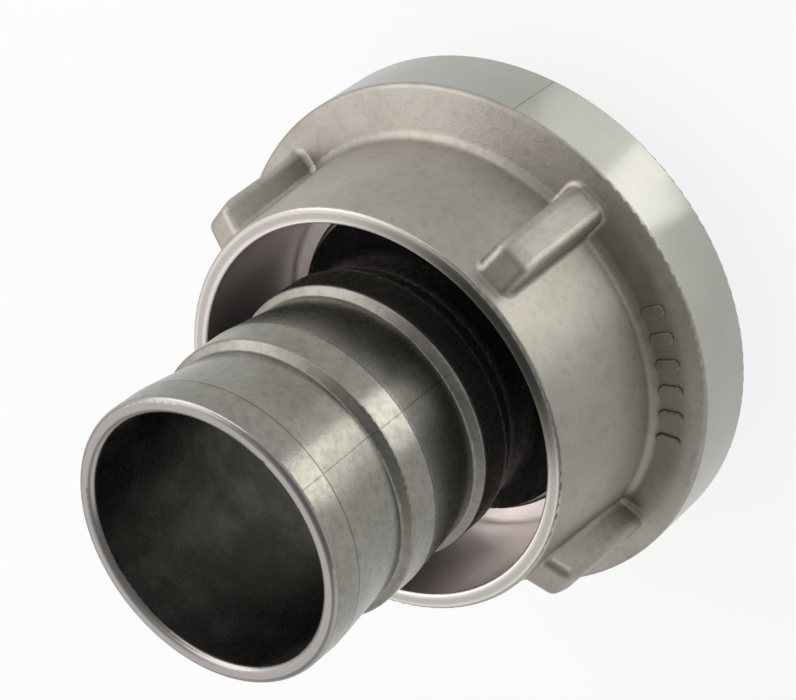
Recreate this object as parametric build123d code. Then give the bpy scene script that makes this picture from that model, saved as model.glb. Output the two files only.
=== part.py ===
"""Quarter turn fire hose coupling with claws, a swivelling bell ring and a ridged hose tail.

Millimetres and degrees. Z is the axis of the waterway and points out of the hose end.
The origin is the centre of the plane of the two claw tips, on which the coupling stands.
Angles run from +X towards +Y. The claws lie on the X axis, in line with two of the lugs.
"""
import os
from math import atan, degrees, radians, sin
from build123d import *

# Waterway and hose tail
bore_radius = 22.9           # waterway
tail_wall = 1.4              # between the waterway and the valleys of the tail
ridge_height = 1.6           # crests above the valleys
first_ridge = 20.45          # from the mouth to the foot of the first ridge
ridge_pitch = 21.05          # from one ridge to the next
ridge_count = 2              # ridges behind the mouth
ridge_face = 0.8             # length of the steep slope that faces the hose
ridge_crest = 6.55           # flat top of a ridge, ahead of its long cone
ridge_face_round = 0.6       # top and foot of the steep slope
ridge_back = 3.9             # length of the last ridge's slope that faces the ring
crest_round = 1.95           # top of that slope
valley_round = 3.9           # its foot, and the foot of the neck's cone
mouth_crest = 6.3            # flat top at the mouth, ahead of its long cone
mouth_inner_round = 1.3
mouth_outer_round = 1.0
neck_length = 8.95           # between the last ridge and the cone
neck_flare = 6.4             # length of the cone between neck and hub

# Head of the tail: seal groove, flange and hub
seal_inner_wall = 1.6        # metal between the waterway and the seal
seal_width = 6.0
seal_outer_wall = 2.1        # metal outside the seal
seal_depth = 6.2
seal_lip_drop = 1.6          # inner wall stands lower than the front face of the head
head_proud = 0.6             # head ahead of the front face of the ring
head_round = 0.8
seal_proud = 1.2             # rubber ahead of the head
seal_play = 0.1
bearing_step = 2.7           # shoulder of the flange over the hub
hub_collar = 1.5             # hub behind the snap ring

# Swivel
swivel_play = 0.3            # web of the ring round the hub
flange_play = 0.4            # ring round the flange
end_play = 0.3               # slide ring to web
slide_ring_thickness = 1.5
slide_ring_play = 0.1
snap_wire = 2.0              # diameter of the wire
snap_depth = 0.85            # of the groove in the hub
snap_play = 0.4              # web to wire
snap_groove_play = 0.1
snap_gap = 16.0              # opening of the wire ring, as an angle
snap_gap_angle = 318.5       # where the opening lies

# Claws and front of the ring
claw_half_angle = 20.0
claw_neck = 5.8              # radial thickness
claw_hook = 3.6              # overhang of the hook
claw_reach = 12.0            # tips ahead of the front face
claw_play = 0.6              # round a hook of the mating half, radially
claw_end_play = 2.5          # beside a claw, as an angle
mating_gap = 1.2             # front face to the plane where two halves meet
lip_thickness = 4.0          # at the windows
lip_ramp = 1.6               # gained by the lip along the turn
hook_play = 1.0              # under the hook, on the thin end of the lip
tip_play = 0.9               # claw tips of the mating half to the channel floor
tip_chamfer = 1.3
claw_edge_round = 0.8

# Ring and bell
ring_wall = 6.0              # band outside the channel
channel_floor = 3.9          # behind the channel, at the band
band_round = 0.9
flange_rise = 1.9            # back face rises this much from band to bell
web_setback = 1.5            # front of the web ahead of the back edge of the band
web_thickness = 4.7
web_face = 3.4               # machined width of the web's rear face
relief_width = 1.0           # groove between web and bell wall
relief_depth = 0.8
bell_root_wall = 5.2
bell_wall = 3.0              # at the rim
bell_draft = 0.7             # bell opens by this much in radius
bell_length = 29.0           # rim behind the back edge of the band
bell_fillet = 1.9
rim_round = 0.6

# Spanner lugs on the bell
lug_count = 4
lug_width = 7.4
lug_height = 5.6             # above the root of the bell, at the band
lug_taper = 0.8              # lower at the hose end of its top
lug_top_length = 21.1
lug_nose = 3.0               # length of the sloping nose
lug_end_length = 26.6
lug_crease_round = 8.0       # between top and nose
lug_nose_round = 2.0         # front of the nose
lug_edge_round = 1.8
lug_root_round = 1.2
seam_tolerance = 0.0005      # how near an edge is to both of the pieces that it joins

# Plain raised marks on the back face
mark_count = 6
mark_centre_angle = 45.0
mark_step = 6.6              # angle from one to the next
mark_length = 4.4
mark_width = 2.2
mark_height = 0.5
mark_edge_round = 0.25
mark_offset = 3.3            # centre outside the bell, radially

# Radii, from the waterway outwards
tail_radius = bore_radius + tail_wall
crest_radius = tail_radius + ridge_height
seal_inner_radius = bore_radius + seal_inner_wall
seal_outer_radius = seal_inner_radius + seal_width
flange_radius = seal_outer_radius + seal_outer_wall
hub_radius = flange_radius - bearing_step
claw_radius = flange_radius + flange_play
neck_radius = claw_radius + claw_neck
hook_radius = neck_radius + claw_hook
lip_radius = neck_radius + claw_play
channel_radius = hook_radius + claw_play
band_radius = channel_radius + ring_wall
web_radius = hub_radius + swivel_play
bell_root_inner = web_radius + web_face + relief_width
bell_root_outer = bell_root_inner + bell_root_wall
bell_rim_inner = bell_root_inner + bell_draft
bell_rim_outer = bell_rim_inner + bell_wall

# Heights, from the claw tips towards the hose
front_z = claw_reach
hook_z = claw_reach - 2 * mating_gap - lip_thickness - hook_play
channel_z = front_z + claw_reach - 2 * mating_gap + tip_play
back_z = channel_z + channel_floor
web_front_z = back_z - web_setback
web_back_z = web_front_z + web_thickness
rim_z = back_z + bell_length
head_z = front_z - head_proud
flange_back_z = web_front_z - end_play - slide_ring_thickness
snap_z = web_back_z + snap_play + snap_wire / 2
hub_top_z = snap_z + snap_wire / 2 + snap_groove_play + hub_collar
neck_top_z = hub_top_z + neck_flare + neck_length
last_ridge_z = neck_top_z + ridge_back + ridge_crest + ridge_face
mouth_z = last_ridge_z + (ridge_count - 1) * ridge_pitch + first_ridge


def section(corners):
    """Face in the XZ plane from (radius, height, rounding) corners."""
    face = make_face(Polyline(*[(r, z) for r, z, _ in corners], close=True))
    for r, z, rounding in corners:
        if rounding:
            corner = face.vertices().sort_by_distance((r, z))[0]
            face = fillet(corner, rounding)
    return Plane.XZ * face


def turned(corners, arc=360.0):
    """Solid of revolution about Z from the corners of its section."""
    return revolve(section(corners), Axis.Z, arc)


def sector(inner, outer, low, high, start, end):
    """Piece of a ring between two radii, two heights and two angles."""
    corners = [(inner, low, 0), (outer, low, 0), (outer, high, 0), (inner, high, 0)]
    return Rot(0, 0, start) * turned(corners, end - start)


def around(count, shape):
    """Copies of a shape at equal angles about Z."""
    return [Rot(0, 0, 360.0 * k / count) * shape for k in range(count)]


def ring_blank():
    """Band, dished back face, bell and inner web, before the channel is cut."""
    relief_radius = bell_root_inner - relief_width
    corners = [
        (claw_radius, front_z, 0),
        (band_radius, front_z, band_round),
        (band_radius, back_z, band_round),
        (bell_root_outer, back_z + flange_rise, bell_fillet),
        (bell_rim_outer, rim_z, rim_round),
        (bell_rim_inner, rim_z, rim_round),
        (bell_root_inner, web_back_z - relief_depth, 0),
        (relief_radius, web_back_z - relief_depth, 0),
        (relief_radius, web_back_z, 0),
        (web_radius, web_back_z, 0),
        (web_radius, web_front_z, 0),
        (claw_radius, web_front_z, 0),
    ]
    return turned(corners)


def channel():
    """Space that one claw of the mating half enters and turns in."""
    start = claw_half_angle + claw_end_play
    window_end = start + 2 * (claw_half_angle + claw_end_play)
    end = 180.0 - start
    inner = claw_radius - flange_play / 2
    above = front_z - lip_thickness
    throat = sector(inner, lip_radius, above, channel_z, start, end)
    window = sector(inner, channel_radius, above, channel_z, start, window_end)
    # The underside of the lip is one plane, tilted so that the lip thickens along the turn
    middle = (window_end + end) / 2
    chord = 2 * channel_radius * sin(radians((end - window_end) / 2))
    tilt = degrees(atan(lip_ramp / chord))
    centre = (0, 0, front_z + lip_thickness + lip_ramp / 2)
    underside = Pos(*centre) * Rot(0, 0, middle) * Rot(tilt, 0, 0) * Plane.XY
    groove = sector(inner, channel_radius, front_z + lip_thickness / 2, channel_z, start, end)
    groove = split(groove, bisect_by=underside, keep=Keep.TOP)
    return throat + window + groove


def claw():
    """Hooked claw centred on the X axis, with its flat tip at height zero."""
    corners = [
        (claw_radius, 0, 0),
        (hook_radius, 0, 0),
        (hook_radius, hook_z, 0),
        (neck_radius, hook_z, claw_edge_round),
        (neck_radius, front_z + claw_edge_round, 0),
        (claw_radius, front_z + claw_edge_round, 0),
    ]
    body = Rot(0, 0, -claw_half_angle) * turned(corners, 2 * claw_half_angle)
    outer = body.faces().filter_by(GeomType.CYLINDER).sort_by(lambda f: f.radius)[-1]
    tip_edge = outer.edges().filter_by(GeomType.CIRCLE).sort_by(Axis.Z)[0]
    body = chamfer(tip_edge, tip_chamfer)
    ends = body.edges().filter_by(GeomType.LINE).filter_by(Axis.Z)
    outer_ends = ends.sort_by(lambda e: e.center().X ** 2 + e.center().Y ** 2)[-2:]
    return fillet(outer_ends, claw_edge_round)


def lug():
    """Spanner lug that runs from the back face along the bell, centred on the X axis."""
    top = bell_root_outer + lug_height
    low_z = (channel_z + back_z) / 2
    corners = [
        (bell_root_inner + bell_root_wall / 2, low_z, 0),
        (top, low_z, 0),
        (top - lug_taper, back_z + lug_top_length, lug_crease_round),
        (top - 2 * lug_taper, back_z + lug_top_length + lug_nose, lug_nose_round),
        (bell_rim_outer - bell_wall / 3, back_z + lug_end_length, 0),
    ]
    body = extrude(section(corners), lug_width / 2, both=True)
    side_edges = [e for face in body.faces().filter_by(Axis.Y) for e in face.edges()]
    outer_edges = [e for e in side_edges if e.center().X > bell_root_outer and e.center().Z > back_z]
    return fillet(outer_edges, lug_edge_round)


def seam(whole, first, second):
    """Edges of a fused solid along which its two parts meet."""
    edges = whole.edges()
    for part in (second, first):
        faces = part.faces()
        edges = [e for e in edges if min(f.distance_to(Vertex(e @ 0.5)) for f in faces) < seam_tolerance]
    return edges


def mark(angle):
    """Plain raised bar on the dished back face."""
    radius = bell_root_outer + mark_offset
    slope = atan(flange_rise / (band_radius - bell_root_outer))
    height = back_z + flange_rise * (band_radius - radius) / (band_radius - bell_root_outer)
    bar = extrude(SlotOverall(mark_length, mark_width), mark_height, both=True)
    bar = fillet(bar.faces().sort_by(Axis.Z)[-1].edges(), mark_edge_round)
    return Rot(0, 0, angle) * Pos(radius, 0, height) * Rot(0, degrees(slope), 0) * bar


def coupling_ring():
    """Forged ring with claws, bell and lugs, in one piece."""
    ring = ring_blank()
    for cut in around(2, channel()):
        ring -= cut
    for piece in around(2, claw()):
        ring += piece
    for piece in around(lug_count, lug()):
        joined = ring + piece
        ring = fillet(seam(joined, ring, piece), lug_root_round)
    first = mark_centre_angle - mark_step * (mark_count - 1) / 2
    for k in range(mark_count):
        ring += mark(first + k * mark_step)
    return ring


def hose_tail():
    """Turned tail: waterway, ridges for the hose, neck, hub, flange and seal groove."""
    corners = [(bore_radius, mouth_z, mouth_inner_round), (crest_radius, mouth_z, mouth_outer_round)]
    crest_end = mouth_z - mouth_crest
    for k in range(ridge_count):
        foot = mouth_z - first_ridge - k * ridge_pitch
        corners += [
            (crest_radius, crest_end, 0),
            (tail_radius, foot, ridge_face_round),
            (crest_radius, foot - ridge_face, ridge_face_round),
        ]
        crest_end = foot - ridge_face - ridge_crest
    groove_half = snap_wire / 2 + snap_groove_play
    corners += [
        (crest_radius, crest_end, crest_round),
        (tail_radius, crest_end - ridge_back, valley_round),
        (tail_radius, hub_top_z + neck_flare, valley_round),
        (hub_radius, hub_top_z, 0),
        (hub_radius, snap_z + groove_half, 0),
        (hub_radius - snap_depth, snap_z + groove_half, 0),
        (hub_radius - snap_depth, snap_z - groove_half, 0),
        (hub_radius, snap_z - groove_half, 0),
        (hub_radius, flange_back_z, 0),
        (flange_radius, flange_back_z, 0),
        (flange_radius, head_z, head_round),
        (seal_outer_radius, head_z, 0),
        (seal_outer_radius, head_z + seal_depth, 0),
        (seal_inner_radius, head_z + seal_depth, 0),
        (seal_inner_radius, head_z + seal_lip_drop, 0),
        (bore_radius, head_z + seal_lip_drop, 0),
    ]
    return turned(corners)


def face_seal():
    """Rubber lip seal in the head, proud of its front face."""
    front = head_z - seal_proud
    lip_back = head_z + seal_lip_drop - seal_proud / 2
    foot = head_z + seal_depth - seal_play
    corners = [
        (seal_inner_radius + seal_play, foot, 0),
        (seal_outer_radius - seal_play, foot, 0),
        (seal_outer_radius - seal_play, head_z, 0),
        (seal_outer_radius - seal_proud, front, seal_proud / 2),
        (bore_radius + seal_inner_wall / 2, front, seal_proud / 2),
        (bore_radius + seal_inner_wall / 4, lip_back, 0),
        (seal_inner_radius + seal_play, lip_back, 0),
    ]
    return turned(corners)


def slide_ring():
    """Flat plastic bearing ring between the flange and the web."""
    inner = hub_radius + slide_ring_play
    outer = flange_radius - slide_ring_play
    top = flange_back_z + slide_ring_thickness
    return sector(inner, outer, flange_back_z, top, 0, 360)


def snap_ring():
    """Open ring of spring wire in the groove of the hub, behind the web."""
    radius = hub_radius - snap_depth + snap_groove_play + snap_wire / 2
    wire = Plane.XZ * Pos(radius, snap_z) * Circle(snap_wire / 2)
    open_ring = revolve(wire, Axis.Z, 360.0 - snap_gap)
    return Rot(0, 0, snap_gap_angle + snap_gap / 2) * open_ring


os.makedirs("parts", exist_ok=True)
pieces = {
    "coupling_ring": coupling_ring(),
    "hose_tail": hose_tail(),
    "face_seal": face_seal(),
    "slide_ring": slide_ring(),
    "snap_ring": snap_ring(),
}
for node, shape in pieces.items():
    export_step(shape, f"parts/{node}.step")
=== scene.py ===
"""Studio scene of a quarter turn fire hose coupling: its finishes, light, floor and camera.

Metres. The parts stand as the frame gives them, and the axis of the waterway is Z.
Azimuths run from +X towards +Y. The camera looks at the side at 83 degrees.
"""

import math

import bpy
from mathutils import Matrix, Vector


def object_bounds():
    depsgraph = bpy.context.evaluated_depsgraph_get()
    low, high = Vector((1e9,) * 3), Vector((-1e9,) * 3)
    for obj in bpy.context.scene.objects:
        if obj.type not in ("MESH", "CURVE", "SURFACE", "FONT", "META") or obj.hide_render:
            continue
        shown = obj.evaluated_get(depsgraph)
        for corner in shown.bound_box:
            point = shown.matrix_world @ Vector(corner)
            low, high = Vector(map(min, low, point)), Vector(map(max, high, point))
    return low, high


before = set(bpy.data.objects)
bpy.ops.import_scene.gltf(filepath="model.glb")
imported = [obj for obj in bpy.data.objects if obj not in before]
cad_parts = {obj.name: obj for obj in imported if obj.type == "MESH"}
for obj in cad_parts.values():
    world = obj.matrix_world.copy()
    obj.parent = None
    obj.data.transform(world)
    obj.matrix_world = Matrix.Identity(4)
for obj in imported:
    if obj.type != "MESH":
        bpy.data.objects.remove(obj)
cad_low, cad_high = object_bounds()
MM = 0.001

# Places on the ring that its finish follows, in millimetres and degrees
BAND_RADIUS = 49.0
BAND_FRONT = 12.0
BAND_BACK = 26.4
BAND_TURNED_BACK = 25.45     # ahead of the band's rounded rear edge
BAND_PARTING = 114.2
FRONT_RADIUS = 43.5          # the machined front of the head lies inside this
HEAD_BACK = 26.6             # and ahead of this
WEB_BACK = 29.6
BELL_INNER = 35.3
RIM_MIDDLE = 36.8
RIM_OUTER = 38.3
BELL_RIM = 55.4
EDGE_DEPTH = 0.4             # rounded edges of band and rim, from their corners
MARKS_ANGLE = 45.0
MARKS_RADIUS = 43.2
MARKS_HEIGHT = 27.3

# Places on the tail, in the same units
TAIL_BORE = 22.9
MOUTH = 101.7
SCRIBE_HEIGHTS = (95.4, 73.9)
RIDGE_HEIGHTS = (80.8, 59.8)
HUB_BACK = 48.0              # the hub and cone with painted shade end here
TAIL_PARTING = 76.4

# Colours of the forged ring
CAST_DARK = (0.302, 0.289, 0.252)
CAST_PALE = (0.355, 0.338, 0.300)
CAST_STAIN = (0.215, 0.203, 0.173)
CAST_GLINT = (0.40, 0.38, 0.35)
CAST_PIT = (0.19, 0.178, 0.152)
CAST_PAINTED_SHADE = (0.135, 0.125, 0.095)
TURNED_DARK = (0.365, 0.362, 0.330)
TURNED_PALE = (0.405, 0.398, 0.365)
TURNED_RING = (0.30, 0.295, 0.265)
BELL_INSIDE_PAINTED_LIGHT = (0.70, 0.66, 0.645)
RIM_FLAT_PAINTED_SHADE = (0.25, 0.243, 0.228)
BAND_LINE = (0.12, 0.11, 0.10)

# Colours of the tail
TAIL_DARK = (0.218, 0.210, 0.184)
TAIL_PALE = (0.268, 0.258, 0.230)
TAIL_STAIN = (0.150, 0.147, 0.137)
BORE_DARK = (0.10, 0.10, 0.105)
BORE_PALE = (0.32, 0.31, 0.29)
MOUTH_ROUND = (0.34, 0.33, 0.32)
MOUTH_FLAT = (0.22, 0.213, 0.205)
HUB_PAINTED_SHADE = (0.045, 0.046, 0.052)
TAIL_LINE = (0.05, 0.045, 0.04)

# Colours of the seal, the slide ring and the snap ring
RUBBER_CLEAN = (0.020, 0.020, 0.021)
RUBBER_DUSTY = (0.045, 0.044, 0.043)
ACETAL_PALE = (0.80, 0.79, 0.73)
ACETAL_DULL = (0.74, 0.73, 0.68)
WIRE_DARK = (0.20, 0.195, 0.19)
WIRE_PALE = (0.34, 0.33, 0.32)

# Colours of the light
WHITE = (1.0, 1.0, 1.0)
ROSY = (1.0, 0.95, 0.95)
FAINTLY_ROSY = (1.0, 0.97, 0.97)
CREAM = (1.0, 1.0, 0.95)
FLOOR_GREY = (0.80, 0.80, 0.79)
SKY_GREY = (0.27, 0.27, 0.27)
SKY_BEHIND = (0.93, 0.89, 0.89)
SKY_RIGHT = (1.1, 1.08, 1.06)
SKY_HORIZON = (0.95, 0.93, 0.93)

# Soft lamps: name, azimuth, elevation, distance, width and height, radiance and colour
LAMPS = (
    ("behind", 238, 42, 1.2, (1.5, 0.85), 1.03, ROSY),
    ("side", 180, 42, 1.0, (0.7, 0.7), 1.9, FAINTLY_ROSY),
    ("strip", 155, 14, 1.0, (1.3, 0.28), 2.6, FAINTLY_ROSY),
)
LAMP_AIM = Vector((0, 0, 0.05))

# Pale patches on the floor beside the part: name, azimuth, distance, width and radiance
FLOOR_GLOWS = (
    ("glow_by_band", 85, 0.069, 0.022, 1.25),
    ("glow_left_of_band", 100, 0.071, 0.038, 0.5),
    ("glow_by_tail", 74.0, 0.125, 0.072, 3.2),
)
GLOW_HEIGHT = 0.001

FLOOR_WIDTH = 8.0
FLOOR_WHITENESS = 0.85       # share of plain white in the floor as the camera sees it

# Camera of the photograph: where it is, and its axes
CAMERA_PLACE = (0.04214, 0.33718, 0.37722)
CAMERA_RIGHT = Vector((0.67891, 0.46870, -0.56516))
CAMERA_DOWN = Vector((0.72736, -0.53430, 0.43065))
CAMERA_AHEAD = Vector((-0.10011, -0.70345, -0.70366))
CAMERA_LENS = 123.85
CAMERA_SENSOR = 36.0


class Number:
    """A number that varies over a surface. Python operators add the nodes that work it out."""

    def __init__(self, tree, socket):
        self.tree = tree
        self.socket = socket

    def math(self, operation, *others):
        return self.worked_out(operation, self, *others)

    def worked_out(self, operation, *inputs):
        values = dict(enumerate(inputs))
        made = self.tree.node("ShaderNodeMath", {"operation": operation}, values)
        return Number(self.tree, made.outputs[0])

    def __add__(self, other):
        return self.math("ADD", other)

    def __radd__(self, other):
        return self.math("ADD", other)

    def __sub__(self, other):
        return self.math("SUBTRACT", other)

    def __rsub__(self, other):
        return self.worked_out("SUBTRACT", other, self)

    def __mul__(self, other):
        return self.math("MULTIPLY", other)

    def __rmul__(self, other):
        return self.math("MULTIPLY", other)

    def __truediv__(self, other):
        return self.math("DIVIDE", other)

    def __rtruediv__(self, other):
        return self.worked_out("DIVIDE", other, self)

    def __pow__(self, other):
        return self.math("POWER", other)

    def __abs__(self):
        return self.math("ABSOLUTE")

    def most(self, other):
        return self.math("MAXIMUM", other)

    def above(self, edge, softness):
        """0 below the edge and 1 above it, over a soft width."""
        low, high = edge - softness / 2, edge + softness / 2
        made = self.tree.node(
            "ShaderNodeMapRange",
            {"interpolation_type": "SMOOTHSTEP"},
            {"Value": self, "From Min": low, "From Max": high},
        )
        return Number(self.tree, made.outputs[0])

    def below(self, edge, softness):
        return 1 - self.above(edge, softness)

    def near(self, centre, width, softness):
        """1 within the width about a centre, and 0 outside it."""
        return abs(self - centre).below(width / 2, softness)

    def near_either(self, centres, width, softness):
        """1 within the width about one of two centres."""
        first, second = (self.near(centre, width, softness) for centre in centres)
        return first.most(second)


class Tree:
    """A tree of shader nodes. Every node comes from node()."""

    def __init__(self, owner):
        owner.use_nodes = True
        self.nodes = owner.node_tree.nodes
        self.links = owner.node_tree.links
        self.nodes.clear()

    def node(self, kind, settings=None, values=None):
        """New node with its settings, and a constant, a Number or another socket in its inputs."""
        made = self.nodes.new(kind)
        for name, value in (settings or {}).items():
            setattr(made, name, value)
        for name, value in (values or {}).items():
            socket = made.inputs[name]
            value = value.socket if isinstance(value, Number) else value
            if isinstance(value, bpy.types.NodeSocket):
                self.links.new(value, socket)
            elif socket.type == "RGBA":
                socket.default_value = (*value, 1)
            else:
                socket.default_value = value
        return made

    def mix(self, factor, first, second):
        """Colour between two colours."""
        values = {0: factor, 6: first, 7: second}
        return self.node("ShaderNodeMix", {"data_type": "RGBA"}, values).outputs[2]

    def towards(self, spot, way):
        """How far a direction points along another, from -1 to 1."""
        made = self.node("ShaderNodeVectorMath", {"operation": "DOT_PRODUCT"}, {0: spot, 1: way})
        return Number(self, made.outputs["Value"])


class Finish(Tree):
    """A node material on Object coordinates."""

    def __init__(self, name):
        self.material = bpy.data.materials.new(name)
        super().__init__(self.material)
        self.place = self.node("ShaderNodeTexCoord").outputs["Object"]
        parts = self.node("ShaderNodeSeparateXYZ", {}, {0: self.place}).outputs
        self.x, self.y, self.height = (Number(self, parts[k]) / MM for k in range(3))
        self.radius = (self.x * self.x + self.y * self.y) ** 0.5
        self.angle = self.y.math("ARCTAN2", self.x) * math.degrees(1)

    def noise(self, size, detail=3, roughness=0.5, offset=0):
        """Noise from 0 to 1 whose features are size millimetres across."""
        scale = 1 / (size * MM)
        spot = self.node(
            "ShaderNodeMapping",
            {},
            {"Vector": self.place, "Location": (offset,) * 3, "Scale": (scale,) * 3},
        )
        made = self.node(
            "ShaderNodeTexNoise",
            {},
            {"Vector": spot.outputs[0], "Scale": 1.0, "Detail": detail, "Roughness": roughness},
        )
        return Number(self, made.outputs[0])

    def streaks(self, along, size, turn_size):
        """Noise drawn out round the axis: rings of a height or radius that fade as they turn."""
        spot = self.node(
            "ShaderNodeCombineXYZ", {}, {0: along / size, 1: self.angle / turn_size, 2: 0.0}
        )
        values = {"Vector": spot.outputs[0], "Scale": 1.0, "Detail": 2.0}
        return Number(self, self.node("ShaderNodeTexNoise", {}, values).outputs[0])

    def bump(self, height, depth):
        """Surface normal of a height from 0 to 1 that stands depth millimetres high."""
        values = {"Height": height, "Distance": depth * MM, "Strength": 1.0}
        return self.node("ShaderNodeBump", {}, values).outputs[0]

    def surface(self, values):
        """Principled shader with these inputs, as the material's surface."""
        shader = self.node("ShaderNodeBsdfPrincipled", {}, values)
        self.node("ShaderNodeOutputMaterial", {}, {0: shader.outputs[0]})
        return self.material


def dress(node, material):
    """Puts a finish on a CAD node."""
    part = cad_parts[node]
    part.data.materials.clear()
    part.data.materials.append(material)


def forged_ring():
    """Shot blasted forging with a turned band, front, web, rim and inside of the bell."""
    f = Finish("forged_ring")
    grain = f.noise(0.45, detail=2)
    lumps = f.noise(1.6, detail=2, offset=7)
    mottle = f.noise(14, detail=2)
    stain = f.noise(5, detail=3, offset=3)
    sparkle = f.noise(0.3, detail=1, offset=11)
    rings = f.streaks(f.height, 0.25, 60)

    band = f.radius.above(BAND_RADIUS - 0.2, 0.2) * f.height.below(BAND_TURNED_BACK, 0.3)
    head = f.radius.below(FRONT_RADIUS, 0.2) * f.height.below(HEAD_BACK, 0.2)
    front = head.most(f.height.below(BAND_FRONT + 0.4, 0.1))
    inside = f.radius.below(BELL_INNER + 0.5, 0.3) * f.height.above(WEB_BACK - 2, 0.2)
    rim = f.height.above(BELL_RIM - 0.35, 0.3)
    rim_flat_shade = rim * f.radius.near(RIM_MIDDLE, 1.1, 0.5)
    turned = band.most(front).most(inside).most(rim)

    # Blasted skin, with painted shade round the raised marks
    cast = f.mix(mottle.above(0.5, 0.6), CAST_DARK, CAST_PALE)
    cast = f.mix(stain.above(0.6, 0.3) * 0.3, cast, CAST_STAIN)
    cast = f.mix(sparkle.above(0.5, 0.5) * 0.3, cast, CAST_GLINT)
    cast = f.mix(lumps.above(0.62, 0.25) * 0.25, cast, CAST_PIT)
    # Painted shade: the skin round the raised marks is darkened, broken up by the stain noise
    marks_shade = f.angle.near(MARKS_ANGLE, 66, 30) * f.radius.near(MARKS_RADIUS, 5.2, 2.5)
    marks_shade = marks_shade * f.height.near(MARKS_HEIGHT, 3.4, 1.0)
    cast = f.mix(marks_shade * (0.40 + 0.30 * stain), cast, CAST_PAINTED_SHADE)

    # Turned faces, with the parting line of the forging across the band
    bright = f.mix(mottle.above(0.5, 0.6), TURNED_DARK, TURNED_PALE)
    bright = f.mix(rings.above(0.55, 0.3) * 0.10, bright, TURNED_RING)
    colour = f.mix(turned, cast, bright)
    # Painted light: the inside of the bell takes a paler copy of the turned colour
    colour = f.mix(inside, colour, BELL_INSIDE_PAINTED_LIGHT)
    # Painted shade: the flat of the rim, between its rounded edges, is darker
    colour = f.mix(rim_flat_shade * 0.8, colour, RIM_FLAT_PAINTED_SHADE)
    parting = f.angle.near(BAND_PARTING, 0.35, 0.35) * band
    colour = f.mix(parting * 0.6, colour, BAND_LINE)

    turned_gloss = 0.25 + 0.06 * rings + 0.04 * inside
    roughness = turned * turned_gloss + (1 - turned) * (0.43 + 0.10 * grain)

    # The relief stops short of the rounded edges, which stay smooth
    band_edge = f.radius.near(BAND_RADIUS - EDGE_DEPTH, 1.2, 0.6)
    band_edge = band_edge * f.height.near(BAND_BACK - EDGE_DEPTH, 1.6, 0.6)
    rim_edge = f.radius.near(RIM_OUTER, 1.2, 0.6) * f.height.near(BELL_RIM - EDGE_DEPTH, 1.6, 0.6)
    rough = (1 - turned) * (1 - band_edge.most(rim_edge))
    skin = rough * (0.5 * (grain - 0.5) + 0.3 * (lumps - 0.5))
    cuts = 0.012 * (turned - inside) * rings
    return f.surface(
        {
            "Base Color": colour,
            "Metallic": 1.0,
            "Roughness": roughness,
            "Normal": f.bump(0.5 + skin + cuts - 0.4 * parting, 0.07),
            "Anisotropic": 0.5,
            "Anisotropic Rotation": 0.25,
        }
    )


def turned_tail():
    """Cast and turned tail with two scribed lines and a faint parting line."""
    f = Finish("turned_tail")
    mottle = f.noise(9, detail=4, roughness=0.55)
    stain = f.noise(1.5, detail=4, roughness=0.65, offset=5)
    grain = f.noise(0.5, detail=3)
    fade = f.noise(14, detail=2, offset=2)
    clouds = f.noise(11, detail=5, roughness=0.6, offset=9).above(0.5, 0.3)
    rings = f.streaks(f.height, 0.4, 60)

    outside = f.radius.above(TAIL_BORE + 0.6, 0.2)
    hub = f.height.below(HUB_BACK, 3.0)
    mouth = f.height.above(MOUTH - 0.7, 0.4)
    mouth_flat = f.height.above(MOUTH - 0.25, 0.2)
    ridges = f.height.near_either(RIDGE_HEIGHTS, 2.2, 0.8) * outside
    scribes = f.height.near_either(SCRIBE_HEIGHTS, 0.22, 0.2) * outside * fade.above(0.38, 0.2)
    parting = f.angle.near(TAIL_PARTING, 0.5, 0.4) * outside * (1 - mouth)
    lines = scribes.most(parting * (0.35 + 0.5 * stain))

    colour = f.mix(mottle.above(0.5, 0.5), TAIL_DARK, TAIL_PALE)
    colour = f.mix(stain.above(0.56, 0.25) * 0.45, colour, TAIL_STAIN)
    bore = f.mix(clouds, BORE_DARK, BORE_PALE)
    colour = f.mix((1 - outside) * (0.35 + 0.65 * clouds), colour, bore)
    colour = f.mix(mouth, colour, MOUTH_ROUND)
    colour = f.mix(mouth_flat, colour, MOUTH_FLAT)
    # Painted shade: the hub and cone deep inside the bell are made near black
    colour = f.mix(hub * outside * 0.85, colour, HUB_PAINTED_SHADE)
    colour = f.mix(lines * 0.75, colour, TAIL_LINE)

    rough = 1 - ridges.most(mouth).most(0.8 * hub)
    skin = rough * (0.20 * (grain - 0.5) + 0.15 * (mottle - 0.5))
    return f.surface(
        {
            "Base Color": colour,
            "Metallic": 1.0,
            "Roughness": 0.19 + 0.12 * stain + 0.05 * mottle + 0.10 * ridges,
            "Normal": f.bump(skin + 0.03 * rings - 0.5 * lines, 0.05),
            "Anisotropic": 0.3,
            "Anisotropic Rotation": 0.25,
        }
    )


def seal_rubber():
    """Black moulded rubber, a little dusty."""
    f = Finish("seal_rubber")
    dust = f.noise(3, detail=4)
    grain = f.noise(0.3, detail=2)
    return f.surface(
        {
            "Base Color": f.mix(dust.above(0.58, 0.3), RUBBER_CLEAN, RUBBER_DUSTY),
            "Roughness": 0.55 + 0.12 * dust,
            "Normal": f.bump(grain, 0.02),
        }
    )


def slide_plastic():
    """Natural acetal with faint turning rings."""
    f = Finish("slide_plastic")
    cloud = f.noise(4, detail=2)
    rings = f.streaks(f.radius, 0.3, 60)
    return f.surface(
        {
            "Base Color": f.mix(cloud, ACETAL_PALE, ACETAL_DULL),
            "Roughness": 0.4 + 0.1 * cloud,
            "Normal": f.bump(rings, 0.01),
        }
    )


def spring_wire():
    """Drawn spring wire with a dull grey skin."""
    f = Finish("spring_wire")
    cloud = f.noise(3, detail=3)
    draw = f.noise(0.25, detail=2)
    return f.surface(
        {
            "Base Color": f.mix(cloud, WIRE_DARK, WIRE_PALE),
            "Metallic": 1.0,
            "Roughness": 0.32 + 0.15 * cloud,
            "Normal": f.bump(draw, 0.01),
        }
    )


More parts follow.
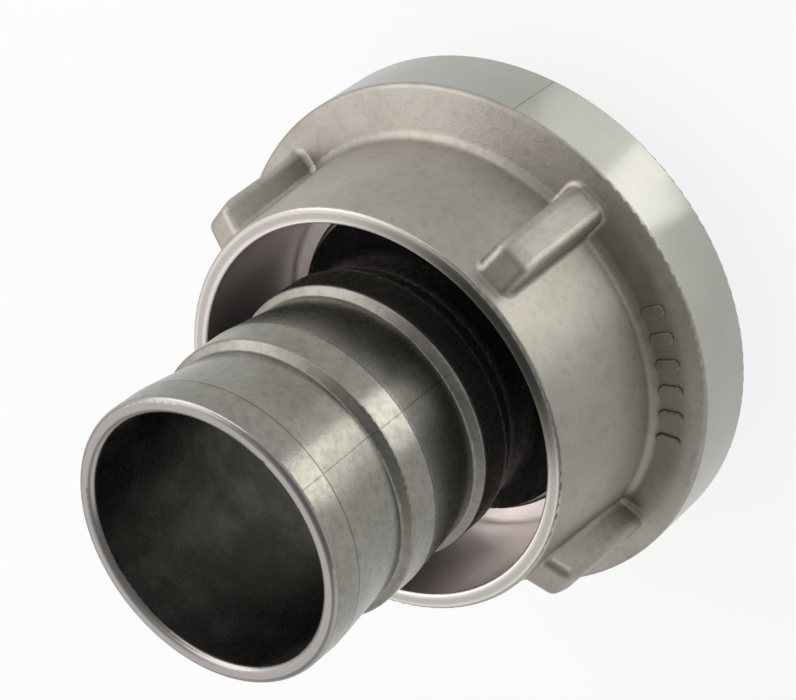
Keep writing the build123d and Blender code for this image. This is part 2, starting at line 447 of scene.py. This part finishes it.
def pale_floor():
    """Pale floor that is white to the eye and in the metal, and keeps a soft shadow."""
    bpy.ops.mesh.primitive_plane_add(size=FLOOR_WIDTH, location=(0, 0, cad_low.z))
    floor = bpy.context.object
    floor.name = "floor"
    material = bpy.data.materials.new("pale_floor")
    tree = Tree(material)
    rays = tree.node("ShaderNodeLightPath").outputs
    seen = Number(tree, rays["Is Camera Ray"]) + Number(tree, rays["Is Glossy Ray"])
    seen = seen + Number(tree, rays["Is Transmission Ray"])
    grey = tree.node("ShaderNodeBsdfDiffuse", {}, {"Color": FLOOR_GREY}).outputs[0]
    white = tree.node("ShaderNodeEmission", {}, {"Color": WHITE, "Strength": 1.0}).outputs[0]
    blend = tree.node("ShaderNodeMixShader", {}, {0: seen * FLOOR_WHITENESS, 1: grey, 2: white})
    tree.node("ShaderNodeOutputMaterial", {}, {0: blend.outputs[0]})
    floor.data.materials.append(material)


def direction(azimuth, elevation):
    """Unit vector towards an azimuth and an elevation in degrees."""
    a, e = math.radians(azimuth), math.radians(elevation)
    return Vector((math.cos(e) * math.cos(a), math.cos(e) * math.sin(a), math.sin(e)))


def studio_world():
    """Grey studio: paler behind the part, at its right and at the horizon."""
    world = bpy.data.worlds.new("studio")
    bpy.context.scene.world = world
    tree = Tree(world)
    spot = tree.node("ShaderNodeTexCoord").outputs["Generated"]
    behind = tree.towards(spot, direction(225, 25)).above(0.35, 1.1)
    right = tree.towards(spot, direction(-25, 18)).above(0.85, 0.2)
    parts = tree.node("ShaderNodeSeparateXYZ", {}, {0: spot}).outputs
    horizon = Number(tree, parts[2]).below(0.14, 0.16)
    colour = tree.mix(behind, SKY_GREY, SKY_BEHIND)
    colour = tree.mix(right, colour, SKY_RIGHT)
    colour = tree.mix(horizon, colour, SKY_HORIZON)
    background = tree.node("ShaderNodeBackground", {}, {0: colour, 1: 1.0})
    tree.node("ShaderNodeOutputWorld", {}, {0: background.outputs[0]})


def lamp(name, place, aim, size, radiance, colour):
    """Soft rectangular lamp of a width and a height that shines from its place to its aim."""
    data = bpy.data.lights.new(name, "AREA")
    data.shape = "RECTANGLE"
    data.size, data.size_y = size
    data.energy = radiance * math.pi * size[0] * size[1]
    data.color = colour
    light = bpy.data.objects.new(name, data)
    light.location = place
    light.rotation_euler = (aim - place).to_track_quat("-Z", "Y").to_euler()
    light.visible_camera = False
    bpy.context.scene.collection.objects.link(light)


def studio_lamps():
    """Broad pale lamps behind and beside the part, and a glow from the floor in front of it."""
    for name, azimuth, elevation, distance, size, radiance, colour in LAMPS:
        place = LAMP_AIM + distance * direction(azimuth, elevation)
        lamp(name, place, LAMP_AIM, size, radiance, colour)
    up = Vector((0, 0, 1))
    for name, azimuth, distance, width, radiance in FLOOR_GLOWS:
        place = distance * direction(azimuth, 0) + GLOW_HEIGHT * up
        lamp(name, place, place + up, (width, width), radiance, CREAM)


def camera():
    """Camera at the photograph's place, 45 degrees above the part and rolled."""
    data = bpy.data.cameras.new("camera")
    data.lens = CAMERA_LENS
    data.sensor_width = CAMERA_SENSOR
    data.clip_start = 0.01
    eye = bpy.data.objects.new("camera", data)
    turn = Matrix((CAMERA_RIGHT, -CAMERA_DOWN, -CAMERA_AHEAD)).transposed().to_4x4()
    eye.matrix_world = Matrix.Translation(CAMERA_PLACE) @ turn
    bpy.context.scene.collection.objects.link(eye)
    bpy.context.scene.camera = eye


dress("coupling_ring", forged_ring())
dress("hose_tail", turned_tail())
dress("face_seal", seal_rubber())
dress("slide_ring", slide_plastic())
dress("snap_ring", spring_wire())
pale_floor()
studio_world()
studio_lamps()
camera()
bpy.context.scene.view_settings.view_transform = "Standard"
